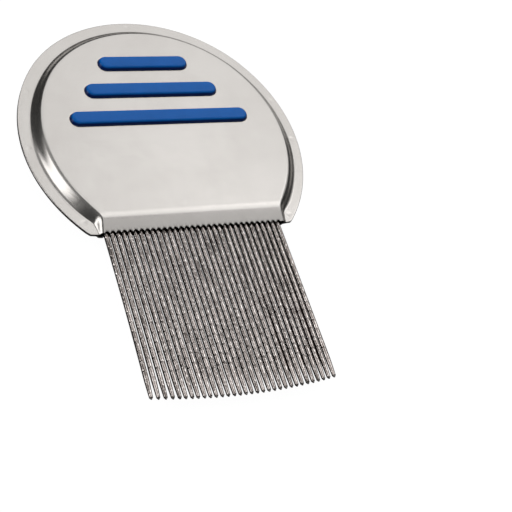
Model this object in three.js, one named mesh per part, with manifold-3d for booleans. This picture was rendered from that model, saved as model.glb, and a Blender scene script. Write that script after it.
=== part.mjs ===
// Flea comb. Two stamped steel shells meet at their rims and form a flat hollow handle. A row of
// round steel teeth stands in a holder inside the mouth of the handle, and a moulded grip core,
// trapped between the shells, shows as three ribs through the slots of each shell.
//
// Millimetres. X runs along the row of teeth, +Y from the tooth tips to the head of the handle,
// and +Z out of the front face. Inside the group, y = 0 is the mouth of the handle, where the
// teeth come out, and z = 0 is the plane where the two shells meet.

import * as THREE from 'three';
import { mergeVertices } from 'three/addons/utils/BufferGeometryUtils.js';
import Module from 'manifold-3d';

const wasm = await Module();
wasm.setup();

// Teeth
const TOOTH_COUNT = 32;
const TOOTH_PITCH = 1.27;
const TOOTH_DIAMETER = 1.09;
const TOOTH_REACH_MIDDLE = 40.4; // from the mouth to the tip, in the middle of the row
const TOOTH_REACH_END = 38.9; // the same at the ends of the row
const TOOTH_SHANK = 12.5; // hidden in the handle
const TAPER_LENGTH = 4.3;
const TAPER_END_DIAMETER = 0.76;
const TIP_DIAMETER = 0.56;
const TIP_LENGTH = 0.42;
const TOOTH_SIDES = 12;

// Handle outline: a head arc that runs into two wider side arcs, which draw in towards the mouth
const HEAD_RADIUS = 31.47;
const HEAD_CENTRE_Y = 27.17;
const SIDE_RADIUS = 36.4;
const SIDE_JOIN = THREE.MathUtils.degToRad(35.5); // the side arcs meet the head arc at this turn
const SIDE_CENTRE_X = (SIDE_RADIUS - HEAD_RADIUS) * Math.cos(SIDE_JOIN);
const SIDE_CENTRE_Y = HEAD_CENTRE_Y - (SIDE_RADIUS - HEAD_RADIUS) * Math.sin(SIDE_JOIN);
const HALF_WIDTH = SIDE_RADIUS - SIDE_CENTRE_X;
const CORNER_CUT_Y = 0.7; // the side arcs end here in a small corner cut
const CORNER_HALF_WIDTH = 23.1;
const RIM_BOTTOM_Y = 0.2;

// Stamped sheet
const SHEET = 0.3;
const RIM_GAP = 0.02; // from the meeting plane to each rim
const RIM_WIDTH = 2.9;
const WALL_RUN = 1.5;
const WALL_RISE = 1.9;
const RIM_TOP_Z = RIM_GAP + SHEET;
const PANEL_TOP_Z = RIM_TOP_Z + WALL_RISE;
const PANEL_INSET = RIM_WIDTH + WALL_RUN;

// Bevel of the panel along the mouth
const FOLD_Y = 3.2;
const LIP_TOP_Z = 1.0;
const LIP_HALF_WIDTH = 21.2;
const LIP_FLARE = 0.5; // how much wider the bevel is at the fold than at the lip
const LIP_SHOULDER_Y = 6.9; // where the ends of the bevel run out into the side walls

// Grip core
const RIB_CENTRES_Y = [29.0, 36.8, 44.6];
const RIB_HALF_LENGTHS = [20.85, 15.6, 10.6];
const RIB_WIDTH = 3.7;
const RIB_PROUD = 0.9; // above the panel
const RIB_EDGE = 0.6;
const SLOT_CLEARANCE = 0.08;
const CORE_BOTTOM_Y = 22;
const CORE_EDGE_GAP = 0.6;

// Tooth holder
const HOLDER_BOTTOM_Y = 4.7;
const HOLDER_TOP_Y = 13.2;
const HOLDER_HALF_WIDTH = 20.7;
const BORE_CLEARANCE = 0.04;

const INNER_GAP = 0.12; // between a shell and the pieces inside it
const OVERRUN = 6; // how far a cutting solid passes what it cuts
const HALF_THICKNESS = PANEL_TOP_Z + RIB_PROUD;

const steel = new THREE.MeshStandardMaterial({ color: 0xd6d3ce, roughness: 0.34, metalness: 1 });
const toothSteel = new THREE.MeshStandardMaterial({ color: 0xa8a49f, roughness: 0.3, metalness: 1 });
const bluePlastic = new THREE.MeshStandardMaterial({ color: 0x2760a8, roughness: 0.3, metalness: 0 });
const darkPlastic = new THREE.MeshStandardMaterial({ color: 0x3a3c40, roughness: 0.6, metalness: 0 });

// A closed geometry as a solid that can be joined and cut.
function solid(geometry) {
  const bare = geometry.clone();
  bare.deleteAttribute('normal');
  bare.deleteAttribute('uv');
  const merged = mergeVertices(bare);
  const vertProperties = merged.getAttribute('position').array;
  const triVerts = Uint32Array.from(merged.getIndex().array);
  return new wasm.Manifold(new wasm.Mesh({ numProp: 3, vertProperties, triVerts }));
}

function geometryOf(manifold) {
  const mesh = manifold.getMesh();
  const geometry = new THREE.BufferGeometry();
  geometry.setAttribute('position', new THREE.BufferAttribute(mesh.vertProperties, 3));
  geometry.setIndex(new THREE.BufferAttribute(mesh.triVerts, 1));
  geometry.computeVertexNormals();
  return geometry;
}

// A plate of the given outline between two heights.
function plate(points, bottom, top) {
  const shape = new THREE.Shape(points);
  const geometry = new THREE.ExtrudeGeometry(shape, { depth: top - bottom, bevelEnabled: false });
  geometry.translate(0, 0, bottom);
  return solid(geometry);
}

// A box between two corners.
function block(low, high) {
  const geometry = new THREE.BoxGeometry(high[0] - low[0], high[1] - low[1], high[2] - low[2]);
  geometry.translate((low[0] + high[0]) / 2, (low[1] + high[1]) / 2, (low[2] + high[2]) / 2);
  return solid(geometry);
}

function arc(centreX, centreY, radius, from, to, steps) {
  const points = [];
  for (let step = 0; step <= steps; step += 1) {
    const angle = from + ((to - from) * step) / steps;
    points.push(new THREE.Vector2(centreX + radius * Math.cos(angle), centreY + radius * Math.sin(angle)));
  }
  return points;
}

// The whole outline from its right half, which runs from the bottom up to the middle of the head.
function mirrored(rightHalf) {
  const leftHalf = rightHalf.map((point) => new THREE.Vector2(-point.x, point.y));
  leftHalf.reverse();
  if (rightHalf.at(-1).x < 1e-6) {
    leftHalf.shift();
  }
  return [...rightHalf, ...leftHalf];
}

// Half outline of the handle, drawn in by an inset, from the height bottomY up to the head.
function handleHalf(inset, bottomY) {
  const sideRadius = SIDE_RADIUS - inset;
  const start = -Math.asin((SIDE_CENTRE_Y - bottomY) / sideRadius);
  const side = arc(-SIDE_CENTRE_X, SIDE_CENTRE_Y, sideRadius, start, SIDE_JOIN, 18);
  const head = arc(0, HEAD_CENTRE_Y, HEAD_RADIUS - inset, SIDE_JOIN, Math.PI / 2, 12);
  return [...side, ...head.slice(1)];
}

function stadium(centreY, halfLength, width) {
  const radius = width / 2;
  const straight = halfLength - radius;
  return [
    ...arc(straight, centreY, radius, -Math.PI / 2, Math.PI / 2, 8),
    ...arc(-straight, centreY, radius, Math.PI / 2, 1.5 * Math.PI, 8),
  ];
}

// The raised part of a shell as a full solid: the panel, its sloping walls, the bevel along the
// mouth and the steep ends of the bevel. With offset 0 it is the outer form. With the sheet's
// thickness as offset it is the form of the hollow under it.
function raisedForm(offset) {
  const wallTurn = Math.atan2(WALL_RISE, WALL_RUN);
  const inset = PANEL_INSET + offset * Math.tan(wallTurn / 2);
  const panelTop = PANEL_TOP_Z - offset;

  const side = handleHalf(inset, FOLD_Y);
  const panelPoints = mirrored([new THREE.Vector2(side[0].x, -2 * OVERRUN), ...side]);
  const geometry = new THREE.ExtrudeGeometry(new THREE.Shape(panelPoints), {
    depth: OVERRUN,
    bevelSegments: 1,
    bevelSize: WALL_RUN,
    bevelThickness: WALL_RISE,
  });
  geometry.translate(0, 0, panelTop - WALL_RISE - OVERRUN);
  const panel = solid(geometry);

  const slope = (PANEL_TOP_Z - LIP_TOP_Z) / FOLD_Y;
  const lipZ = LIP_TOP_Z - offset / Math.cos(Math.atan(slope));
  const foldY = (panelTop - lipZ) / slope;
  const wedge = new THREE.Shape([
    new THREE.Vector2(foldY, panelTop),
    new THREE.Vector2(foldY, panelTop + OVERRUN),
    new THREE.Vector2(-3 * OVERRUN, panelTop + OVERRUN),
    new THREE.Vector2(-3 * OVERRUN, lipZ - 3 * OVERRUN * slope),
  ]);
  const cut = new THREE.ExtrudeGeometry(wedge, { depth: 2 * SIDE_RADIUS, bevelEnabled: false });
  cut.translate(0, 0, -SIDE_RADIUS);
  const alongX = new THREE.Matrix4().makeBasis(
    new THREE.Vector3(0, 1, 0),
    new THREE.Vector3(0, 0, 1),
    new THREE.Vector3(1, 0, 0),
  );
  cut.applyMatrix4(alongX);

  const lipHalf = LIP_HALF_WIDTH - offset;
  const ends = mirrored([
    new THREE.Vector2(lipHalf, -2 * OVERRUN),
    new THREE.Vector2(lipHalf, 0),
    new THREE.Vector2(lipHalf + LIP_FLARE, FOLD_Y - 0.4),
    new THREE.Vector2(handleHalf(RIM_WIDTH + offset, LIP_SHOULDER_Y)[0].x, LIP_SHOULDER_Y),
    new THREE.Vector2(HALF_WIDTH, 3 * LIP_SHOULDER_Y),
    new THREE.Vector2(HALF_WIDTH, 2 * HALF_WIDTH),
  ]);
  return panel.subtract(solid(cut)).intersect(plate(ends, -2 * OVERRUN, 2 * OVERRUN));
}

function shell() {
  const rimPoints = mirrored([
    new THREE.Vector2(CORNER_HALF_WIDTH, RIM_BOTTOM_Y),
    ...handleHalf(0, CORNER_CUT_Y),
  ]);
  const aboveMouth = block(
    [-HALF_WIDTH - OVERRUN, 0, RIM_GAP],
    [HALF_WIDTH + OVERRUN, 2 * HALF_WIDTH + OVERRUN, 2 * OVERRUN],
  );
  let form = raisedForm(0).intersect(aboveMouth);
  form = form.add(plate(rimPoints, RIM_GAP, RIM_TOP_Z));
  form = form.subtract(raisedForm(SHEET));
  RIB_CENTRES_Y.forEach((centreY, index) => {
    const halfLength = RIB_HALF_LENGTHS[index] + SLOT_CLEARANCE;
    const slot = stadium(centreY, halfLength, RIB_WIDTH + 2 * SLOT_CLEARANCE);
    form = form.subtract(plate(slot, 0, 2 * OVERRUN));
  });
  return geometryOf(form);
}

function gripCore() {
  const halfPlate = PANEL_TOP_Z - SHEET - INNER_GAP;
  const half = handleHalf(PANEL_INSET + CORE_EDGE_GAP, CORE_BOTTOM_Y);
  let core = plate(mirrored(half), -halfPlate, halfPlate);
  RIB_CENTRES_Y.forEach((centreY, index) => {
    const shape = new THREE.Shape(stadium(centreY, RIB_HALF_LENGTHS[index], RIB_WIDTH));
    const rib = new THREE.ExtrudeGeometry(shape, {
      depth: 2 * (HALF_THICKNESS - RIB_EDGE),
      bevelSegments: 2,
      bevelSize: RIB_EDGE,
      bevelOffset: -RIB_EDGE,
      bevelThickness: RIB_EDGE,
    });
    rib.translate(0, 0, RIB_EDGE - HALF_THICKNESS);
    core = core.add(solid(rib));
  });
  return geometryOf(core);
}

// Places along the row, in pitches from its middle.
function toothOffset(index) {
  return index - (TOOTH_COUNT - 1) / 2;
}

// The tips lie on a shallow arc, so the middle teeth reach furthest.
function toothReach(index) {
  const place = toothOffset(index) / toothOffset(TOOTH_COUNT - 1);
  return TOOTH_REACH_MIDDLE - (TOOTH_REACH_MIDDLE - TOOTH_REACH_END) * place * place;
}

function toothHolder() {
  const halfThickness = PANEL_TOP_Z - SHEET - INNER_GAP;
  let holder = block(
    [-HOLDER_HALF_WIDTH, HOLDER_BOTTOM_Y, -halfThickness],
    [HOLDER_HALF_WIDTH, HOLDER_TOP_Y, halfThickness],
  );
  const boreRadius = TOOTH_DIAMETER / 2 + BORE_CLEARANCE;
  const boreEnd = TOOTH_SHANK + INNER_GAP;
  for (let index = 0; index < TOOTH_COUNT; index += 1) {
    const bore = new THREE.CylinderGeometry(boreRadius, boreRadius, boreEnd, TOOTH_SIDES);
    bore.translate(toothOffset(index) * TOOTH_PITCH, boreEnd / 2, 0);
    holder = holder.subtract(solid(bore));
  }
  return geometryOf(holder);
}

function tooth(reach) {
  const radius = TOOTH_DIAMETER / 2;
  const tipRadius = TIP_DIAMETER / 2;
  const taperEndY = TIP_LENGTH - reach;
  return new THREE.LatheGeometry([
    new THREE.Vector2(0, -reach),
    new THREE.Vector2(0.7 * tipRadius, 0.2 * TIP_LENGTH - reach),
    new THREE.Vector2(tipRadius, 0.6 * TIP_LENGTH - reach),
    new THREE.Vector2(TAPER_END_DIAMETER / 2, taperEndY),
    new THREE.Vector2(radius, taperEndY + TAPER_LENGTH),
    new THREE.Vector2(radius, TOOTH_SHANK),
    new THREE.Vector2(0, TOOTH_SHANK),
  ], TOOTH_SIDES);
}

const group = new THREE.Group();

function place(name, geometry, material) {
  const mesh = new THREE.Mesh(geometry, material);
  mesh.name = name;
  group.add(mesh);
  return mesh;
}

place('front_shell', shell(), steel.clone());
// The back shell is the same stamping, turned over about the handle's long axis.
place('back_shell', shell(), steel.clone()).rotation.y = Math.PI;
place('grip_core', gripCore(), bluePlastic);
place('tooth_holder', toothHolder(), darkPlastic);
for (let index = 0; index < TOOTH_COUNT; index += 1) {
  const name = `tooth_${String(index + 1).padStart(2, '0')}`;
  const mesh = place(name, tooth(toothReach(index)), toothSteel.clone());
  mesh.position.x = toothOffset(index) * TOOTH_PITCH;
}

// The origin is under the middle of the comb, on the plane that its rear ribs lie on.
const headTop = HEAD_CENTRE_Y + HEAD_RADIUS;
const lowestTip = -toothReach(TOOTH_COUNT / 2);
group.position.set(0, -(headTop + lowestTip) / 2, HALF_THICKNESS);

export default group;
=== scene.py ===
# Flea comb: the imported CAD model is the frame, and this script adds the finished surfaces,
# the materials, the floor, the light and the camera.
#
# Shapes are worked out in millimetres in the handle's own frame: x along the row of teeth,
# y up the handle from its mouth, and z out of the front face from the plane where the two
# shells meet. to_row() turns such a point into the row frame, in metres.

import math
import random

import bpy
from mathutils import Matrix, Quaternion, Vector
from mathutils.geometry import delaunay_2d_cdt


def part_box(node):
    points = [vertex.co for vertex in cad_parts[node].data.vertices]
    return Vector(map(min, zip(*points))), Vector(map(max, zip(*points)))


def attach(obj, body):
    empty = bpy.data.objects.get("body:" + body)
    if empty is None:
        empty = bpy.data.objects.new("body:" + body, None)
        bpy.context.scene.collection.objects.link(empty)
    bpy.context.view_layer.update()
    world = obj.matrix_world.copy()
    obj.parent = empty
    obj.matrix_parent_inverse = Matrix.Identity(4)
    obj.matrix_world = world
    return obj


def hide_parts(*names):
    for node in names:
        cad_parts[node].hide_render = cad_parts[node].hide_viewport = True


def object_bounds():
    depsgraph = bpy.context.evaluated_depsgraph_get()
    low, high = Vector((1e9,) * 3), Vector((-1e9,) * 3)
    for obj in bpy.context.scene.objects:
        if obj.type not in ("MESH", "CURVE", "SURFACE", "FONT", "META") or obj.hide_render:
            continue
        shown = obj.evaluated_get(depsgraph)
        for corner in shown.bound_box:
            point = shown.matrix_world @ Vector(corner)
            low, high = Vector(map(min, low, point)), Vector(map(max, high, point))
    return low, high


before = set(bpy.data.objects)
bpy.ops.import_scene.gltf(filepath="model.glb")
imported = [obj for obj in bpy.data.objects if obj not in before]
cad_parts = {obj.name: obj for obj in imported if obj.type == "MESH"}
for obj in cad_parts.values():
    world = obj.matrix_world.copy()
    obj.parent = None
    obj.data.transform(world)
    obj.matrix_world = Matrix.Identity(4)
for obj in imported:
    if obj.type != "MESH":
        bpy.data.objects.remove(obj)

CAD_LOW, CAD_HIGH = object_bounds()
SHELL_LOW, SHELL_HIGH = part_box("front_shell")
CORE_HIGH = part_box("grip_core")[1]
MM = 0.001
BODY = "root"
TAU = 2 * math.pi

# Handle sizes that the frame gives
MOUTH_Y = SHELL_LOW.y
MID_Z = (CAD_LOW.z + CAD_HIGH.z) / 2
HALF_WIDTH = SHELL_HIGH.x / MM
HEAD_TOP = (SHELL_HIGH.y - MOUTH_Y) / MM
PANEL_Z = (SHELL_HIGH.z - MID_Z) / MM
RIB_TOP_Z = (CORE_HIGH.z - MID_Z) / MM

# Outline of the shells: a head arc that runs into two wider side arcs
HEAD_RADIUS = 31.47
HEAD_Y = HEAD_TOP - HEAD_RADIUS
SIDE_RADIUS = 36.4
SIDE_JOIN = math.radians(35.5)
SIDE_X = SIDE_RADIUS - HALF_WIDTH
SIDE_Y = HEAD_Y - (SIDE_RADIUS - HEAD_RADIUS) * math.sin(SIDE_JOIN)
SHEET = 0.3
RIM_GAP = 0.02
RIM_Z = RIM_GAP + SHEET
RIM_WIDTH = 2.75
WALL_RUN = 1.4
PANEL_INSET = RIM_WIDTH + WALL_RUN
RIM_BOTTOM = (23.1, 0.2)
CORNER_Y = 0.7

# The pressed panel lies off the middle of the rim, and lower towards the head
WALL_SHIFT = 0.25
WALL_DROP = 0.3
DROP_START = 5.0
DROP_END = 25.0

# Bevel along the mouth
FOLD_Y = 3.2
FOLD_BLEND = 0.5
LIP_Z = 1.0
LIP_SLOPE = (PANEL_Z - LIP_Z) / FOLD_Y
SCALLOP = 0.05
SCALLOP_FADE = 0.5
SCALLOP_POWER = 1.5
SCALLOP_REACH = 6
ARCH_HEIGHT = 0.22
ARCH_REACH = 1.0
ROW_FADE = (-0.2, 0.3)

# Teeth
TOOTH_COUNT = 32
PITCH = 1.27
HALF_ROW = TOOTH_COUNT / 2 * PITCH
TOOTH_RADIUS = 0.545
TOOTH_SIDES = 26
SHANK_TOP = 12.5
TAPER_LENGTH = 4.3
TAPER_RADIUS = 0.40
TAPER_POWER = 1.35
TAPER_STEPS = (0.06, 0.14, 0.24, 0.36, 0.5, 0.65, 0.8, 0.92, 1.0)
SHOULDER = 0.13
SHOULDER_DEGREES = (20, 40, 60, 80)
TIP_RADIUS = 0.24
TIP_LENGTH = 0.46
TIP_RINGS = 6
TIP_WANDER = 0.05
LEFT_SPLAY = 0.7
SPLAYED_TEETH = 4
SPLAY_POWER = 1.2

# Helical groove of a tooth
GROOVE_LEAD = 2.26
GROOVE_WIDTH = 0.12
GROOVE_DEPTH = 0.018
GROOVE_TOP = 2.5
GROOVE_END_GAP = 0.6
GROOVE_END_FADE = 0.9
GROOVE_ROWS = (-0.5, -0.3, -0.14, 0.0, 0.14, 0.3, 0.5)
PLAIN_ROWS = 5

# Ribs of the grip core
RIB_Y = (29.0, 36.8, 44.6)
RIB_HALF = (20.85, 15.6, 10.6)
RIB_RADIUS = 1.85
RIB_EDGE = 0.7
RIB_CROWN = 0.12
SLOT_GAP = 0.08
RIB_SPACING = 0.35
RIB_EDGE_STEPS = (0.06, 0.18, 0.34, 0.53, 0.76, 1.0)
RIB_TOP_RINGS = (0.75, 1.0, 1.3, 1.6, 1.84)
CORE_PLATE_Z = 1.8
CORE_BOTTOM_Y = 22.0
CORE_INSET = PANEL_INSET + 0.8
CORE_SIDE_STEPS = 24
CORE_HEAD_STEPS = 30


def to_row(x, y, z):
    return (x * MM, MOUTH_Y + y * MM, MID_Z + z * MM)


# ---------------------------------------------------------------- small maths

def smooth_step(low, high, value):
    t = min(max((value - low) / (high - low), 0.0), 1.0)
    return t * t * (3 - 2 * t)


def smooth_max(a, b, blend):
    h = max(blend - abs(a - b), 0.0) / blend
    return max(a, b) + h * h * blend / 4


def smooth_min(a, b, blend):
    return -smooth_max(-a, -b, blend)


def mix(a, b, t):
    return a + (b - a) * t


def between(p, q, t):
    return (mix(p[0], q[0], t), mix(p[1], q[1], t))


def distance(p, q):
    return math.hypot(p[0] - q[0], p[1] - q[1])


def rounded(points, first, last, passes):
    """The points with the kinks between two indices softened, ends kept."""
    points = list(points)
    for _ in range(passes):
        old = list(points)
        for k in range(max(first, 1), min(last, len(points) - 1)):
            points[k] = tuple(
                0.25 * old[k - 1][i] + 0.5 * old[k][i] + 0.25 * old[k + 1][i] for i in (0, 1)
            )
    return points


# ---------------------------------------------------------------- mesh helpers

MERGE_DISTANCE = 1e-7


def new_piece(name, verts, faces, material, replaces, sharp=()):
    """A mesh piece that rides on the comb, from points in the handle's frame."""
    mesh = bpy.data.meshes.new(name)
    mesh.from_pydata([to_row(*v) for v in verts], [], faces)
    mesh.validate()
    mesh.polygons.foreach_set("use_smooth", [True] * len(mesh.polygons))
    if sharp:
        sharp = {tuple(sorted(e)) for e in sharp}
        for edge in mesh.edges:
            if tuple(sorted(edge.vertices)) in sharp:
                edge.use_edge_sharp = True
    mesh.update()
    mesh.materials.append(material)
    piece = bpy.data.objects.new(name, mesh)
    bpy.context.scene.collection.objects.link(piece)
    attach(piece, BODY)
    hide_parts(*replaces)
    return piece


def vertex_normals(verts, faces):
    normals = [Vector((0, 0, 0)) for _ in verts]
    for face in faces:
        a, b, c = (Vector(verts[i]) for i in (face[0], face[1], face[-1]))
        n = (b - a).cross(c - a)
        for i in face:
            normals[i] += n
    return [n.normalized() for n in normals]


def closed_loop(first, count):
    """The edges that join a run of points in a ring."""
    return [(first + k, first + (k + 1) % count) for k in range(count)]


def face_centre(points, face):
    return tuple(sum(points[k][i] for k in face) / len(face) for i in (0, 1))


def triangulated(flat, edges):
    """Triangles over flat points that keep the given edges: the points, the faces, and the
    given points that each new point stands for."""
    points, _, faces, origin, _, _ = delaunay_2d_cdt(flat, edges, [], 0, MERGE_DISTANCE, True)
    return points, faces, origin


def boundary_edges(faces):
    """Directed edges that only one face uses."""
    used = {}
    for face in faces:
        for a, b in zip(face, face[1:] + face[:1]):
            used[(a, b)] = True
    return [edge for edge in used if (edge[1], edge[0]) not in used]


# ---------------------------------------------------------------- handle outline

def arc_point(inset, turn):
    """A point of the outline drawn in by inset. turn runs from below 0 on the side arc, through
    0 at the widest place, to 90 degrees at the top of the head."""
    if turn >= SIDE_JOIN:
        radius = HEAD_RADIUS - inset
        return (radius * math.cos(turn), HEAD_Y + radius * math.sin(turn))
    radius = SIDE_RADIUS - inset
    return (-SIDE_X + radius * math.cos(turn), SIDE_Y + radius * math.sin(turn))


def side_turn(inset, y):
    """The turn at which the drawn-in side arc is at height y."""
    return -math.asin((SIDE_Y - y) / (SIDE_RADIUS - inset))


def inset_of(x, y):
    """How far a point lies inside the outline of the rim."""
    if math.atan2(y - HEAD_Y, abs(x)) > SIDE_JOIN:
        return HEAD_RADIUS - math.hypot(x, y - HEAD_Y)
    return SIDE_RADIUS - math.hypot(abs(x) + SIDE_X, y - SIDE_Y)


MOUTH_STEPS = 16
SIDE_STEPS = 150
HEAD_STEPS = 90
BLEND_INSET = 0.9
LIP_FOOT_X = 21.45
LIP_EDGE_X = 20.85
FOOT_CORNER_Y = 2.9
EDGE_CORNER_Y = 3.5
EDGE_PULL = -0.13
FOOT_PULL = 0.2
PULL_FADE = 0.09
INNER_X = LIP_EDGE_X - BLEND_INSET
INNER_INSET = PANEL_INSET + BLEND_INSET
INNER_CORNER_Y = SIDE_Y - math.sqrt((SIDE_RADIUS - INNER_INSET) ** 2 - (INNER_X + SIDE_X) ** 2)
OUTER_ROUNDING = (MOUTH_STEPS - 6, MOUTH_STEPS + 6, 2)
FOOT_ROUNDING = (3, MOUTH_STEPS + 20, 6)
EDGE_ROUNDING = (3, MOUTH_STEPS + 20, 22)


def half_rail(start, corner, inset, pull=0.0):
    """Points from the mouth up the right side to the top of the head, one for each station."""
    rail = [between(start, corner, k / MOUTH_STEPS) for k in range(MOUTH_STEPS)]
    first = side_turn(inset + pull, corner[1])
    for k in range(SIDE_STEPS):
        t = k / SIDE_STEPS
        extra = pull * (1 - smooth_step(0.0, PULL_FADE, t))
        rail.append(arc_point(inset + extra, mix(first, SIDE_JOIN, t)))
    for k in range(HEAD_STEPS + 1):
        rail.append(arc_point(inset, mix(SIDE_JOIN, math.pi / 2, k / HEAD_STEPS)))
    return rail


def whole_rail(half):
    left = [(-x, y) for x, y in reversed(half[:-1])]
    return half + left


def pressed_place(x, y, way=1):
    """The pressed panel sits a little to the right of the rim's outline and below it."""
    return (x + way * WALL_SHIFT, y - way * WALL_DROP * smooth_step(DROP_START, DROP_END, y))


def shell_rails():
    outer_corner = arc_point(0.0, side_turn(0.0, CORNER_Y))
    foot_inset = RIM_WIDTH + FOOT_PULL
    foot_corner = arc_point(foot_inset, side_turn(foot_inset, FOOT_CORNER_Y))
    edge_inset = PANEL_INSET + EDGE_PULL
    edge_corner = arc_point(edge_inset, side_turn(edge_inset, EDGE_CORNER_Y))
    outer = half_rail(RIM_BOTTOM, outer_corner, 0.0)
    foot = half_rail((LIP_FOOT_X, 0.0), foot_corner, RIM_WIDTH, FOOT_PULL)
    edge = half_rail((LIP_EDGE_X, 0.0), edge_corner, PANEL_INSET, EDGE_PULL)
    inner = half_rail((INNER_X, 0.0), (INNER_X, INNER_CORNER_Y), INNER_INSET)
    outer = rounded(outer, *OUTER_ROUNDING)
    foot = rounded(foot, *FOOT_ROUNDING)
    edge = rounded(edge, *EDGE_ROUNDING)
    inner = rounded(inner, *EDGE_ROUNDING)
    pressed = [[pressed_place(*p) for p in whole_rail(rail)] for rail in (foot, edge, inner)]
    return [whole_rail(outer)] + pressed


# ---------------------------------------------------------------- shell surface

def panel_height(y):
    return smooth_min(PANEL_Z, LIP_Z + LIP_SLOPE * y, FOLD_BLEND)


# The bends at the foot and top of the wall are wide where it is high, and close up where it is low
WALL_RISES = (1.3, 1.85)
FOOT_BLEND = 0.9
TOP_BLEND = 1.0
LOW_FOOT_BLEND = 0.3
LOW_TOP_BLEND = 0.55


def wall_height(point, edge, place):
    """Height of a point across the rim and wall, beside a point of the wall's top edge. place is
    0 at the wall's foot and 1 at that edge."""
    top = panel_height(edge[1])
    rise = top - RIM_Z
    ramp = RIM_Z + place * rise
    full = smooth_step(*WALL_RISES, rise)
    low = smooth_max(ramp, RIM_Z, mix(LOW_FOOT_BLEND * rise, FOOT_BLEND, full))
    top_blend = mix(LOW_TOP_BLEND * rise, TOP_BLEND, full)
    return smooth_min(low, panel_height(point[1]), top_blend)


WELD_RADIUS = 0.6
WELD_DEPTH = 0.05
WELD_REACH = 2.2
WELD_RING = 1.15
WELD_RING_WIDTH = 0.25
WELD_RING_HEIGHT = 0.35
WELD_TURNS = (-2.2, 16.7, 90, 155.8, 182.2)
CORNER_WELDS = ((23.3, 2.1), (-23.75, 3.3))


def weld_points():
    spots = []
    for degrees in WELD_TURNS:
        folded = degrees if degrees <= 90 else 180 - degrees
        x, y = arc_point(RIM_WIDTH / 2, math.radians(folded))
        spots.append((x if degrees <= 90 else -x, y))
    return spots + list(CORNER_WELDS)


WELDS = weld_points()


def weld_height(x, y):
    """A spot weld is a shallow dimple with a low ring round it."""
    height = 0.0
    for spot in WELDS:
        r = math.hypot(x - spot[0], y - spot[1]) / WELD_RADIUS
        if r < WELD_REACH:
            ring = math.exp(-((r - WELD_RING) / WELD_RING_WIDTH) ** 2)
            height += WELD_DEPTH * (WELD_RING_HEIGHT * ring - math.exp(-r ** 4))
    return height


def row_strength(x):
    """1 along the row of teeth, falling to 0 just past its ends."""
    return 1 - smooth_step(HALF_ROW + ROW_FADE[0], HALF_ROW + ROW_FADE[1], abs(x))


def scallop_height(x, y):
    """The lip is drawn up over each tooth, and falls between two teeth."""
    if y > SCALLOP_REACH or abs(x) > HALF_ROW + PITCH:
        return 0.0
    wave = -math.cos(TAU * x / PITCH)
    return SCALLOP * row_strength(x) * wave * math.exp(-((y / SCALLOP_FADE) ** SCALLOP_POWER))


def arch_shift(x, y):
    """The cut edge arches up over each tooth and hangs lower between two teeth."""
    if y > ARCH_REACH or abs(x) > HALF_ROW + PITCH:
        return 0.0
    place = x / PITCH - 0.5
    from_tooth = 2 * abs(place - round(place))
    return ARCH_HEIGHT * row_strength(x) * (1 - 2 * from_tooth ** 2) * (1 - y / ARCH_REACH) ** 2


EDGE_ROLL = 0.07
EDGE_ROLL_WIDTH = 0.16


def roll_height(from_edge):
    """A cut edge is rounded over a little on its outer face."""
    t = max(1 - from_edge / EDGE_ROLL_WIDTH, 0.0)
    return -EDGE_ROLL * t * t


def stadium(centre_y, half_length, radius, count):
    """A round-ended outline, anticlockwise from its right end, even in its spacing."""
    straight = half_length - radius
    arc_length = math.pi * radius
    total = 2 * arc_length + 4 * straight
    points = []
    for k in range(count):
        s = total * k / count
        if s < arc_length / 2:
            a = s / radius
            points.append((straight + radius * math.cos(a), centre_y + radius * math.sin(a)))
        elif s < arc_length / 2 + 2 * straight:
            points.append((straight - (s - arc_length / 2), centre_y + radius))
        elif s < 1.5 * arc_length + 2 * straight:
            a = (s - 2 * straight) / radius
            points.append((-straight + radius * math.cos(a), centre_y + radius * math.sin(a)))
        elif s < 1.5 * arc_length + 4 * straight:
            points.append((-straight + (s - 1.5 * arc_length - 2 * straight), centre_y - radius))
        else:
            a = (s - 4 * straight) / radius
            points.append((straight + radius * math.cos(a), centre_y + radius * math.sin(a)))
    return points


def stadium_distance(x, y, index, radius):
    """Distance outside the round-ended outline of one rib, negative inside it."""
    straight = RIB_HALF[index] - RIB_RADIUS
    return math.hypot(max(abs(x) - straight, 0.0), y - RIB_Y[index]) - radius


def nearest_rib(x, y, radius):
    """Distance outside the nearest rib, or its slot where radius is the slot's."""
    return min(stadium_distance(x, y, index, radius) for index in range(len(RIB_Y)))


SLOT_RINGS = (0.0, 0.04, 0.09, 0.16, 0.35, 0.7)
CLOSE_RINGS = 0.3
CLOSE_SPACING = 0.5
WIDE_SPACING = 0.8
ON_SLOT_EDGE = 1e-4
INSIDE_SLOT = -1e-5
RIM_STEPS = (0, .013, .03, .055, .12, .2, .3, .4, .5, .6, .7, .78, .84, .89, .93, .965, 1)
WALL_STEPS = (.1, .2, .3, .4, .5, .6, .7, .8, .9, 1)
PANEL_STEPS = (.1, .2, .3, .42, .56, .75, 1)
LIP_ROWS = (0.08, 0.18, 0.3, 0.44, 0.6, 0.78, 0.98, 1.2, 1.45)
FOLD_ROWS = (1.75, 2.1, 2.45, 2.75, 3.0, 3.25, 3.5, 3.7, 3.9, 4.1, 4.3, 4.5, 4.75, 5.0, 5.3, 5.7)
LIP_SPACING = PITCH / 8
FOLD_SPACING = 0.5
GRID_START = 6.4
GRID_SPACING = 1.1
RING_CLEARANCE = 0.5
BORDER_CLEARANCE = 0.12
WELL_INSIDE = 0.6
ABOVE_MOUTH = 0.1
LEAST_RUN = 0.05


def frange(low, high, step):
    count = int(round((high - low) / step))
    return [low + (high - low) * k / count for k in range(count + 1)]


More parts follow.
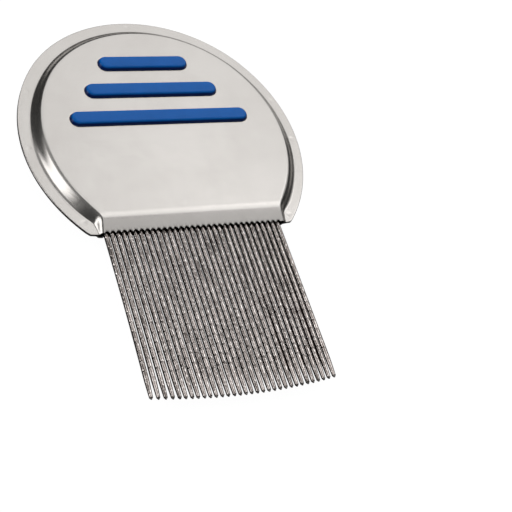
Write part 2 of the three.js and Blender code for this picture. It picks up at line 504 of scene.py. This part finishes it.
def inside_panel(x, y, margin):
    """Whether a point is inside the innermost ring of the wall by at least the margin."""
    x, y = pressed_place(x, y, -1)
    if y < INNER_CORNER_Y + margin:
        return abs(x) < INNER_X - margin
    return inset_of(x, y) > INNER_INSET + margin


def inside_loop(x, y, loop):
    """Whether a point is inside a closed outline."""
    inside = False
    for (ax, ay), (bx, by) in zip(loop, loop[1:] + loop[:1]):
        if (ay > y) != (by > y) and x < ax + (bx - ax) * (y - ay) / (by - ay):
            inside = not inside
    return inside


def panel_points():
    """Loose points of the panel: close rows at the lip and the fold, and a grid above them."""
    points = []
    for y in LIP_ROWS:
        points += [(x + WALL_SHIFT, y) for x in frange(-INNER_X, INNER_X, LIP_SPACING)[1:-1]]
    for y in FOLD_ROWS:
        points += [(x, y) for x in frange(-INNER_X - 1, INNER_X + 1, FOLD_SPACING)]
    for y in frange(GRID_START, HEAD_TOP, GRID_SPACING):
        points += [(x, y) for x in frange(-HALF_WIDTH, HALF_WIDTH, GRID_SPACING)]
    kept = []
    for x, y in points:
        clear = nearest_rib(x, y, RIB_RADIUS) > SLOT_RINGS[-1] + RING_CLEARANCE
        if clear and inside_panel(x, y, BORDER_CLEARANCE):
            kept.append((x, y))
    return kept


class ShellSurface:
    """The outer face of one shell.

    Each vertex holds its plain place, the height of the marks pressed into both faces of the
    sheet, and the height of what only its outer face has."""

    def __init__(self):
        self.verts, self.pressed, self.rolled, self.faces = [], [], [], []
        outer, foot, edge, inner = shell_rails()
        inner_ids = self.add_walls(outer, foot, edge, inner)
        self.add_panel(inner, inner_ids)
        self.verts = [(x, y + arch_shift(x, y), z) for x, y, z in self.verts]

    def add(self, x, y, z, press=0.0, roll=0.0):
        self.verts.append((x, y, z))
        self.pressed.append(press)
        self.rolled.append(roll)
        return len(self.verts) - 1

    def add_walls(self, outer, foot, edge, inner):
        """The rim, the wall and the border of the panel. Gives the points of the inner rail."""
        grid = []
        for o, f, e, i in zip(outer, foot, edge, inner):
            run = max(distance(f, e), LEAST_RUN)
            line = []
            for t in RIM_STEPS:
                p = between(o, f, t)
                z = wall_height(p, e, -distance(p, f) / run)
                line.append(self.add(*p, z, weld_height(*p), roll_height(distance(o, p))))
            for t in WALL_STEPS:
                p = between(f, e, t)
                line.append(self.add(*p, wall_height(p, e, t)))
            for t in PANEL_STEPS:
                p = between(e, i, t)
                z = wall_height(p, e, 1 + distance(p, e) / run)
                line.append(self.add(*p, z, scallop_height(*p)))
            grid.append(line)
        for a, b in zip(grid, grid[1:]):
            for k in range(len(a) - 1):
                self.faces.append((a[k], b[k], b[k + 1], a[k + 1]))
        return [line[-1] for line in grid]

    def add_panel(self, inner, inner_ids):
        """The panel inside the inner rail, down to the mouth, with its three slots."""
        mouth = [pressed_place(x, 0.0) for x in frange(-INNER_X, INNER_X, LIP_SPACING)[1:-1]]
        border = list(inner) + mouth
        flat = [Vector(p) for p in border]
        edges = []
        for points in slot_outlines():
            edges += closed_loop(len(flat), len(points))
            flat += [Vector(p) for p in points]
        flat += [Vector(p) for p in panel_points()]
        edges += closed_loop(0, len(border))
        points, faces, origin = triangulated(flat, edges)
        ids = []
        for (x, y), source in zip(points, origin):
            known = [inner_ids[k] for k in source if k < len(inner_ids)]
            if known:
                ids.append(known[0])
                continue
            slot_gap = nearest_rib(x, y, RIB_RADIUS + SLOT_GAP)
            roll = roll_height(slot_gap) if slot_gap > -ON_SLOT_EDGE else 0.0
            ids.append(self.add(x, y, panel_height(y), scallop_height(x, y), roll))
        for face in faces:
            x, y = face_centre(points, face)
            in_slot = nearest_rib(x, y, RIB_RADIUS + SLOT_GAP) < INSIDE_SLOT
            well_inside = inside_panel(x, y, WELL_INSIDE) and y > ABOVE_MOUTH
            if not in_slot and (well_inside or inside_loop(x, y, border)):
                self.faces.append(tuple(ids[k] for k in face))


def slot_outlines():
    """Each slot's outline, and the rings of points round it."""
    for centre_y, half in zip(RIB_Y, RIB_HALF):
        for ring in SLOT_RINGS:
            grow = SLOT_GAP + ring
            spacing = CLOSE_SPACING if ring < CLOSE_RINGS else WIDE_SPACING
            yield stadium(centre_y, half + grow, RIB_RADIUS + grow, int(4 * half / spacing))


def shell_piece(name, node, front, material, surface):
    """One shell: the surface, the same surface a sheet's thickness behind it, and the cut edges.
    The back shell is the front shell turned over about the comb's long axis."""
    verts, faces = surface.verts, surface.faces
    count = len(verts)
    outer = [(x, y, z + p + r) for (x, y, z), p, r in zip(verts, surface.pressed, surface.rolled)]
    inner = []
    for (x, y, z), n, p in zip(verts, vertex_normals(verts, faces), surface.pressed):
        inner.append((x - SHEET * n.x, y - SHEET * n.y, z - SHEET * n.z + p))
    border = boundary_edges(faces)
    all_faces = list(faces)
    all_faces += [tuple(k + count for k in reversed(face)) for face in faces]
    all_faces += [(b, a, a + count, b + count) for a, b in border]
    sharp = border + [(a + count, b + count) for a, b in border]
    points = outer + inner
    if not front:
        points = [(-x, y, -z) for x, y, z in points]
    return new_piece(name, points, all_faces, material, [node], sharp)


# ---------------------------------------------------------------- grip core

def core_outline():
    first = side_turn(CORE_INSET, CORE_BOTTOM_Y)
    half = []
    for k in range(CORE_SIDE_STEPS):
        half.append(arc_point(CORE_INSET, mix(first, SIDE_JOIN, k / CORE_SIDE_STEPS)))
    for k in range(CORE_HEAD_STEPS + 1):
        half.append(arc_point(CORE_INSET, mix(SIDE_JOIN, math.pi / 2, k / CORE_HEAD_STEPS)))
    return whole_rail(half)


def crown_height(d):
    return RIB_TOP_Z - RIB_CROWN * (1 - d / RIB_RADIUS) ** 2


def rib_rings():
    """How far inside its outline each ring of a rib lies, and its height."""
    rings = [(0.0, CORE_PLATE_Z), (0.0, RIB_TOP_Z - RIB_CROWN - RIB_EDGE)]
    for step in RIB_EDGE_STEPS:
        d = RIB_EDGE * step
        drop = RIB_EDGE - math.sqrt(RIB_EDGE ** 2 - (RIB_EDGE - d) ** 2)
        rings.append((d, crown_height(d) - drop))
    return rings + [(d, crown_height(d)) for d in RIB_TOP_RINGS]


class CoreMesh:
    """The points and faces of the grip core. side is 1 on its front and -1 on its back."""

    def __init__(self):
        self.verts = []
        self.faces = []

    def add_points(self, points, z):
        first = len(self.verts)
        self.verts += [(x, y, z) for x, y in points]
        return list(range(first, len(self.verts)))

    def add_face(self, face, side):
        self.faces.append(face if side > 0 else face[::-1])

    def add_rib(self, index, side):
        """One rib. Gives its outline and the points where it meets the plate."""
        count = 4 * int(RIB_HALF[index] / RIB_SPACING)
        outline = stadium(RIB_Y[index], RIB_HALF[index], RIB_RADIUS, count)
        rings = [self.add_points(inset_stadium(outline, index, d), side * z) for d, z in rib_rings()]
        for lower, upper in zip(rings, rings[1:]):
            for k, j in closed_loop(0, count):
                self.add_face((lower[k], lower[j], upper[j], upper[k]), side)
        top = rings[-1]
        for k in range(count // 2):
            corners = (top[k], top[k + 1], top[count - k - 1], top[(count - k) % count])
            self.add_face(tuple(dict.fromkeys(corners)), side)
        return outline, rings[0]

    def add_side(self, outline, side):
        """One side of the plate with its ribs. Gives the first point of its outline."""
        ids = self.add_points(outline, side * CORE_PLATE_Z)
        first = ids[0]
        flat = [Vector(p) for p in outline]
        edges = closed_loop(0, len(flat))
        for index in range(len(RIB_Y)):
            rib_outline, rib_ids = self.add_rib(index, side)
            edges += closed_loop(len(flat), len(rib_outline))
            flat += [Vector(p) for p in rib_outline]
            ids += rib_ids
        points, faces, origin = triangulated(flat, edges)
        for face in faces:
            x, y = face_centre(points, face)
            if nearest_rib(x, y, RIB_RADIUS) >= INSIDE_SLOT and inside_core(x, y):
                self.add_face(tuple(ids[origin[k][0]] for k in face), side)
        return first


def grip_core_piece(material):
    core = CoreMesh()
    outline = core_outline()
    count = len(outline)
    front = core.add_side(outline, 1)
    back = core.add_side(outline, -1)
    for k, j in closed_loop(0, count):
        core.faces.append((front + k, back + k, back + j, front + j))
    border = closed_loop(front, count) + closed_loop(back, count)
    name, slot = "grip_core_moulding", "grip_plastic"
    return new_piece(name, core.verts, core.faces, material, ["grip_core"], border)


def inset_stadium(points, index, d):
    """The outline's points moved straight inwards by d."""
    straight = RIB_HALF[index] - RIB_RADIUS
    scale = (RIB_RADIUS - d) / RIB_RADIUS
    moved = []
    for x, y in points:
        cx = min(max(x, -straight), straight)
        moved.append((cx + (x - cx) * scale, RIB_Y[index] + (y - RIB_Y[index]) * scale))
    return moved


def inside_core(x, y):
    return y > CORE_BOTTOM_Y and inset_of(x, y) > CORE_INSET


# ---------------------------------------------------------------- teeth

def groove_rows():
    """How far below the middle of the groove each row of points within one lead lies."""
    rows = [GROOVE_WIDTH * row for row in GROOVE_ROWS]
    plain = GROOVE_LEAD - GROOVE_WIDTH
    rows += [GROOVE_WIDTH / 2 + plain * (k + 1) / (PLAIN_ROWS + 1) for k in range(PLAIN_ROWS)]
    return rows


class ToothMesh:
    """The points and faces of one tooth, which bends aside towards its tip by its splay."""

    def __init__(self, centre_x, tip_y, splay):
        self.centre_x = centre_x
        self.tip_y = tip_y
        self.splay = splay
        self.verts = []
        self.faces = []

    def add(self, angle, y, radius):
        reach = min(y / self.tip_y, 1.0) if y < 0 else 0.0
        shift = self.splay * reach * reach
        x = self.centre_x + shift + radius * math.sin(angle)
        self.verts.append((x, y, radius * math.cos(angle)))
        return len(self.verts) - 1

    def ring(self, y, radius):
        return [self.add(TAU * k / TOOTH_SIDES, y, radius) for k in range(TOOTH_SIDES)]

    def bridge(self, upper, lower):
        for k, j in closed_loop(0, TOOTH_SIDES):
            self.faces.append((upper[k], lower[k], lower[j], upper[j]))

    def add_grooved_length(self, phase, groove_end):
        """The length that the groove winds round. Its rows of points slope with the groove and
        are cut off level at both ends. Gives the level ring at its top and at its bottom."""
        rows = groove_rows()
        per_lead = len(rows)
        ids = {}

        def vertex(column, row):
            lead, part = divmod(row, per_lead)
            y = GROOVE_TOP + phase + GROOVE_LEAD - lead * GROOVE_LEAD - rows[part]
            y -= GROOVE_LEAD * column / TOOTH_SIDES
            depth = 0.0
            if y >= GROOVE_TOP:
                key = ("top", column)
                y = GROOVE_TOP
            elif y <= groove_end:
                key = ("bottom", column)
                y = groove_end
            else:
                key = (column, row)
                across = abs(rows[part]) / (GROOVE_WIDTH / 2)
                fade = smooth_step(groove_end, groove_end + GROOVE_END_FADE, y)
                depth = GROOVE_DEPTH * fade * max(1 - across ** 2, 0.0)
            if key not in ids:
                ids[key] = self.add(TAU * column / TOOTH_SIDES, y, TOOTH_RADIUS - depth)
            return ids[key]

        lead_count = int((GROOVE_TOP - groove_end) / GROOVE_LEAD) + 4
        for row in range(lead_count * per_lead):
            for column in range(TOOTH_SIDES):
                # One turn on, the rows are one lead lower.
                right, drop = (column + 1, 0) if column + 1 < TOOTH_SIDES else (0, per_lead)
                if row < drop:
                    continue
                corners = [(column, row), (column, row + 1)]
                corners += [(right, row + 1 + drop), (right, row + drop)]
                face = tuple(dict.fromkeys(vertex(*corner) for corner in corners))
                if len(face) > 2:
                    self.faces.append(face)
        return [[ids[end, k] for k in range(TOOTH_SIDES)] for end in ("top", "bottom")]


def end_rings(tip_y):
    """Height and radius of each ring down the taper, round the shoulder and over the tip."""
    taper_low = tip_y + TIP_LENGTH
    taper_high = taper_low + TAPER_LENGTH
    rings = []
    for step in TAPER_STEPS:
        radius = TOOTH_RADIUS - (TOOTH_RADIUS - TAPER_RADIUS) * step ** TAPER_POWER
        rings.append((mix(taper_high, taper_low, step), radius))
    for degrees in SHOULDER_DEGREES:
        turn = math.radians(degrees)
        radius = TAPER_RADIUS - SHOULDER * (1 - math.cos(turn))
        rings.append((taper_low - SHOULDER * math.sin(turn), radius))
    for k in range(TIP_RINGS):
        turn = math.pi / 2 * k / TIP_RINGS
        rings.append((tip_y + TIP_RADIUS * (1 - math.sin(turn)), TIP_RADIUS * math.cos(turn)))
    return rings


def tooth_piece(index, material, seeded):
    node = f"tooth_{index + 1:02d}"
    low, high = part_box(node)
    centre_x = (low.x + high.x) / 2 / MM
    tip_y = (low.y - MOUTH_Y) / MM
    phase = seeded.uniform(0, GROOVE_LEAD)
    lean = seeded.uniform(-1, 1)
    tooth = ToothMesh(centre_x, tip_y, tooth_splay(index) + TIP_WANDER * lean)
    groove_end = tip_y + TIP_LENGTH + TAPER_LENGTH + GROOVE_END_GAP
    top, previous = tooth.add_grooved_length(phase, groove_end)
    upper = tooth.ring(SHANK_TOP, TOOTH_RADIUS)
    tooth.faces.append(tuple(upper))
    tooth.bridge(upper, top)
    for y, radius in end_rings(tip_y):
        following = tooth.ring(y, radius)
        tooth.bridge(previous, following)
        previous = following
    tooth.faces.append(tuple(reversed(previous)))
    return new_piece(f"{node}_pin", tooth.verts, tooth.faces, material, [node])


def tooth_splay(index):
    """The first few teeth on the left stand out a little from the row."""
    return -LEFT_SPLAY * max(1 - index / SPLAYED_TEETH, 0.0) ** SPLAY_POWER


# ---------------------------------------------------------------- materials

BLACK = (0, 0, 0)
WHITE = (1, 1, 1)


class Shader:
    """A node material with short calls for the nodes that this script uses."""

    def __init__(self, name):
        self.material = bpy.data.materials.new(name)
        self.material.use_nodes = True
        self.tree = self.material.node_tree
        self.surface = self.tree.nodes["Principled BSDF"]
        outputs = self.tree.nodes.new("ShaderNodeTexCoord").outputs
        self.coords = outputs["Object"]
        self.normal = outputs["Normal"]

    def set(self, **values):
        for name, value in values.items():
            self.surface.inputs[name.replace("_", " ")].default_value = value

    def link(self, output, name):
        self.tree.links.new(output, self.surface.inputs[name])

    def noise(self, scale, stretch=(1, 1, 1), detail=4.0, rough=0.55):
        mapping = self.tree.nodes.new("ShaderNodeMapping")
        mapping.inputs["Scale"].default_value = stretch
        self.tree.links.new(self.coords, mapping.inputs["Vector"])
        node = self.tree.nodes.new("ShaderNodeTexNoise")
        node.inputs["Scale"].default_value = scale
        node.inputs["Detail"].default_value = detail
        node.inputs["Roughness"].default_value = rough
        self.tree.links.new(mapping.outputs["Vector"], node.inputs["Vector"])
        return node.outputs["Fac"]

    def ramp(self, value, stops):
        node = self.tree.nodes.new("ShaderNodeValToRGB")
        elements = node.color_ramp.elements
        for element, (place, colour) in zip(elements, (stops[0], stops[-1])):
            element.position = place
            element.color = (*colour, 1)
        for place, colour in stops[1:-1]:
            elements.new(place).color = (*colour, 1)
        self.tree.links.new(value, node.inputs["Fac"])
        return node.outputs["Color"]

    def span(self, value, low, high):
        node = self.tree.nodes.new("ShaderNodeMapRange")
        node.inputs["From Min"].default_value = 0.3
        node.inputs["From Max"].default_value = 0.7
        node.inputs["To Min"].default_value = low
        node.inputs["To Max"].default_value = high
        self.tree.links.new(value, node.inputs["Value"])
        return node.outputs["Result"]

    def facing(self, axis):
        """How far the surface faces along one axis, from 0 to 1."""
        split = self.tree.nodes.new("ShaderNodeSeparateXYZ")
        size = self.tree.nodes.new("ShaderNodeMath")
        size.operation = "ABSOLUTE"
        self.tree.links.new(self.normal, split.inputs["Vector"])
        self.tree.links.new(split.outputs[axis], size.inputs[0])
        return size.outputs["Value"]

    def mixed(self, amount, first, second):
        node = self.tree.nodes.new("ShaderNodeMix")
        node.data_type = "RGBA"
        colours = [socket for socket in node.inputs if socket.type == "RGBA"]
        self.tree.links.new(amount, node.inputs[0])
        self.tree.links.new(first, colours[0])
        self.tree.links.new(second, colours[1])
        return next(socket for socket in node.outputs if socket.type == "RGBA")

    def bump(self, layers):
        normal = None
        for value, depth in layers:
            node = self.tree.nodes.new("ShaderNodeBump")
            node.inputs["Strength"].default_value = 1.0
            node.inputs["Distance"].default_value = depth
            self.tree.links.new(value, node.inputs["Height"])
            if normal is not None:
                self.tree.links.new(normal, node.inputs["Normal"])
            normal = node.outputs["Normal"]
        self.link(normal, "Normal")


def sheet_steel():
    shader = Shader("satin_sheet_steel")
    shader.set(Metallic=1.0)
    cloud = shader.noise(90, detail=3)
    grain = shader.noise(900, (1, 14, 14), detail=3)
    speck = shader.noise(5200, detail=2)
    tone = shader.ramp(cloud, [(0.35, (0.59, 0.565, 0.54)), (0.65, (0.625, 0.60, 0.575))])
    shader.link(tone, "Base Color")
    shader.link(shader.span(grain, 0.20, 0.27), "Roughness")
    shader.bump([(cloud, 0.000004), (grain, 0.0000012), (speck, 0.0000008)])
    return shader.material


def wire_steel(name, has_neighbours):
    """Ground wire. Where a tooth stands between two others, its flanks are painted dark as the shade
    in the gaps between the teeth.
    """
    shader = Shader(name)
    shader.set(Metallic=1.0)
    shader.set(Specular_Tint=(0.45, 0.42, 0.41, 1))
    streak = shader.noise(3600, (1, 0.05, 1), detail=3)
    speck = shader.noise(4200, (1, 0.45, 1), detail=2)
    ground = shader.ramp(streak, [(0.38, (0.15, 0.13, 0.12)), (0.62, (0.60, 0.535, 0.505))])
    # Painted highlight: bright specks mixed in along the wire are painted glints.
    painted_glint = shader.ramp(streak, [(0.3, (0.66, 0.61, 0.58)), (0.7, (0.95, 0.90, 0.87))])
    painted_glint_mask = shader.ramp(speck, [(0.54, BLACK), (0.61, WHITE)])
    tone = shader.mixed(painted_glint_mask, ground, painted_glint)
    if has_neighbours:
        # Painted shade: flanks that face the next teeth take the near-black colour held in scale,
        # which stands for the shade in the gaps.
        scale = shader.ramp(streak, [(0.3, (0.03, 0.025, 0.022)), (0.7, (0.07, 0.06, 0.055))])
        painted_flank_shade_mask = shader.ramp(shader.facing("X"), [(0.55, BLACK), (0.92, WHITE)])
        tone = shader.mixed(painted_flank_shade_mask, tone, scale)
    shader.link(tone, "Base Color")
    shader.link(shader.span(streak, 0.15, 0.24), "Roughness")
    shader.bump([(streak, 0.000003), (speck, 0.000006)])
    return shader.material


def blue_plastic():
    shader = Shader("blue_gloss_plastic")
    shader.set(Specular_IOR_Level=0.2)
    cloud = shader.noise(160, detail=3)
    peel = shader.noise(1800, detail=2)
    # Painted shade: the sides and lower edges take a dark navy, and only the faces that look up keep
    # the bright blue.
    top = shader.ramp(cloud, [(0.3, (0.001, 0.153, 0.60)), (0.7, (0.002, 0.17, 0.67))])
    side = shader.ramp(cloud, [(0.3, (0.0004, 0.02, 0.14)), (0.7, (0.0006, 0.026, 0.175))])
    painted_shade_by_facing = shader.ramp(shader.facing("Z"), [(0.45, BLACK), (0.85, WHITE)])
    shader.link(shader.mixed(painted_shade_by_facing, side, top), "Base Color")
    shader.link(shader.span(peel, 0.18, 0.27), "Roughness")
    shader.bump([(peel, 0.000004)])
    return shader.material


def dark_plastic():
    shader = Shader("dark_holder_plastic")
    cloud = shader.noise(300, detail=4)
    tone = shader.ramp(cloud, [(0.3, (0.02, 0.02, 0.022)), (0.7, (0.035, 0.036, 0.04))])
    shader.link(tone, "Base Color")
    shader.link(shader.span(cloud, 0.5, 0.65), "Roughness")
    shader.bump([(cloud, 0.00001)])
    return shader.material


# ---------------------------------------------------------------- stage

ROOM_HALF = 1.5
ROOM_HEIGHT = 1.5


def room():
    """A white table top and a white backdrop all round it. Neither shows in the steel."""
    half = ROOM_HALF
    corners = [(-half, -half), (half, -half), (half, half), (-half, half)]
    low = [(x, y, CAD_LOW.z) for x, y in corners]
    high = [(x, y, ROOM_HEIGHT) for x, y in corners]
    material = white_table()
    stage_piece("floor", low, [(0, 1, 2, 3)], material)
    walls = [(k, (k + 1) % 4, (k + 1) % 4 + 4, k + 4) for k in range(4)]
    stage_piece("backdrop", low + high, walls, material).visible_shadow = False


def stage_piece(name, verts, faces, material):
    mesh = bpy.data.meshes.new(name)
    mesh.from_pydata(verts, [], faces)
    mesh.materials.append(material)
    piece = bpy.data.objects.new(name, mesh)
    bpy.context.scene.collection.objects.link(piece)
    piece.visible_glossy = False
    piece.visible_diffuse = False
    return piece


def white_table():
    material = bpy.data.materials.new("white_table")
    material.use_nodes = True
    surface = material.node_tree.nodes["Principled BSDF"]
    surface.inputs["Base Color"].default_value = (0.14, 0.14, 0.14, 1)
    surface.inputs["Roughness"].default_value = 0.9
    surface.inputs["Specular IOR Level"].default_value = 0.0
    surface.inputs["Emission Color"].default_value = (1, 1, 1, 1)
    surface.inputs["Emission Strength"].default_value = 0.97
    return material


LIGHT_AIM = (0, 10, 0)
WORLD_GLOW = 0.035


def area_light(name, direction, distance_mm, size, radiance, across=(1, 0, 0)):
    """A soft box of the given width and height in millimetres that faces the comb. Its width
    lies along across, as nearly as its facing allows."""
    light = bpy.data.lights.new(name, "AREA")
    light.shape = "RECTANGLE"
    light.size = size[0] * MM
    light.size_y = size[1] * MM
    light.energy = radiance * math.pi * light.size * light.size_y
    lamp = bpy.data.objects.new(name, light)
    z_axis = Vector(direction).normalized()
    x_axis = Vector(across) - z_axis * z_axis.dot(Vector(across))
    x_axis.normalize()
    y_axis = z_axis.cross(x_axis)
    lamp.location = Vector(to_row(*LIGHT_AIM)) + z_axis * distance_mm * MM
    lamp.rotation_mode = "QUATERNION"
    lamp.rotation_quaternion = Matrix((x_axis, y_axis, z_axis)).transposed().to_quaternion()
    bpy.context.scene.collection.objects.link(lamp)


def lighting():
    # The panel, the soft glow in its middle, the fold above the mouth, and the bevel below it
    area_light("panel_box", (0.292, 0.754, 0.589), 600, (721, 437), 1.0, (0.985, -0.107, 0.137))
    area_light("glow_box", (0.37, 0.56, 0.745), 590, (95, 95), 0.24)
    area_light("fold_strip", (0.35, 0.309, 0.884), 600, (560, 208), 1.44)
    area_light("bevel_box", (0.39, -0.1, 0.91), 600, (330, 230), 0.72)
    # The edges of the wall on the right, the upper left and the left, and the teeth
    area_light("right_edge_box", (0.829, 0.219, 0.515), 600, (255, 400), 0.52)
    area_light("top_left_box", (-0.52, 0.36, 0.77), 600, (360, 330), 0.38)
    area_light("left_box", (-0.922, 0.172, 0.348), 500, (240, 466), 2.0, (0, 0.94, -0.34))
    area_light("right_box", (0.64, 0.76, -0.09), 600, (390, 560), 0.28, (-0.77, 0.64, 0))
    area_light("front_box", (0.66, -0.66, 0.37), 700, (560, 260), 0.2, (0.7, 0.7, 0))
    # The panel as it is seen from the head of the comb, and from above
    area_light("near_box", (-0.22, -0.71, 0.67), 700, (640, 330), 0.6, (0.96, -0.30, 0))
    area_light("overhead_box", (-0.03, -0.09, 0.995), 650, (150, 150), 0.6)
    world = bpy.data.worlds.new("studio")
    world.use_nodes = True
    background = world.node_tree.nodes["Background"]
    background.inputs["Color"].default_value = (1, 1, 1, 1)
    background.inputs["Strength"].default_value = WORLD_GLOW
    bpy.context.scene.world = world


CAMERA_AZIMUTH = -41.065
CAMERA_ELEVATION = 49.507
CAMERA_ROLL = 29.068
CAMERA_AIM = (11.466, -8.589, 0.94)
CAMERA_DISTANCE = 298.13
CAMERA_LENS = 98.84
SENSOR_WIDTH = 36


def camera():
    data = bpy.data.cameras.new("camera")
    data.lens = CAMERA_LENS
    data.sensor_width = SENSOR_WIDTH
    view = bpy.data.objects.new("camera", data)
    azimuth, elevation = math.radians(CAMERA_AZIMUTH), math.radians(CAMERA_ELEVATION)
    back = Vector((
        math.sin(azimuth) * math.cos(elevation),
        -math.cos(azimuth) * math.cos(elevation),
        math.sin(elevation),
    ))
    view.location = Vector(to_row(*CAMERA_AIM)) + back * CAMERA_DISTANCE * MM
    view.rotation_mode = "QUATERNION"
    roll = Quaternion((0, 0, 1), math.radians(CAMERA_ROLL))
    view.rotation_quaternion = back.to_track_quat("Z", "Y") @ roll
    bpy.context.scene.collection.objects.link(view)
    bpy.context.scene.camera = view


# ---------------------------------------------------------------- the comb

camera()
room()
lighting()
bpy.context.scene.view_settings.view_transform = "Standard"

steel = sheet_steel()
surface = ShellSurface()
shell_piece("front_shell_sheet", "front_shell", True, steel, surface)
shell_piece("back_shell_sheet", "back_shell", False, steel, surface)
grip_core_piece(blue_plastic())
inner_wire = wire_steel("ground_wire_steel_painted_flank_shade", True)
end_wire = wire_steel("end_wire_steel", False)
seeded = random.Random(7)
for tooth in range(TOOTH_COUNT):
    tooth_piece(tooth, end_wire if tooth in (0, TOOTH_COUNT - 1) else inner_wire, seeded)
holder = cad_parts["tooth_holder"]
holder.data.materials.clear()
holder.data.materials.append(dark_plastic())
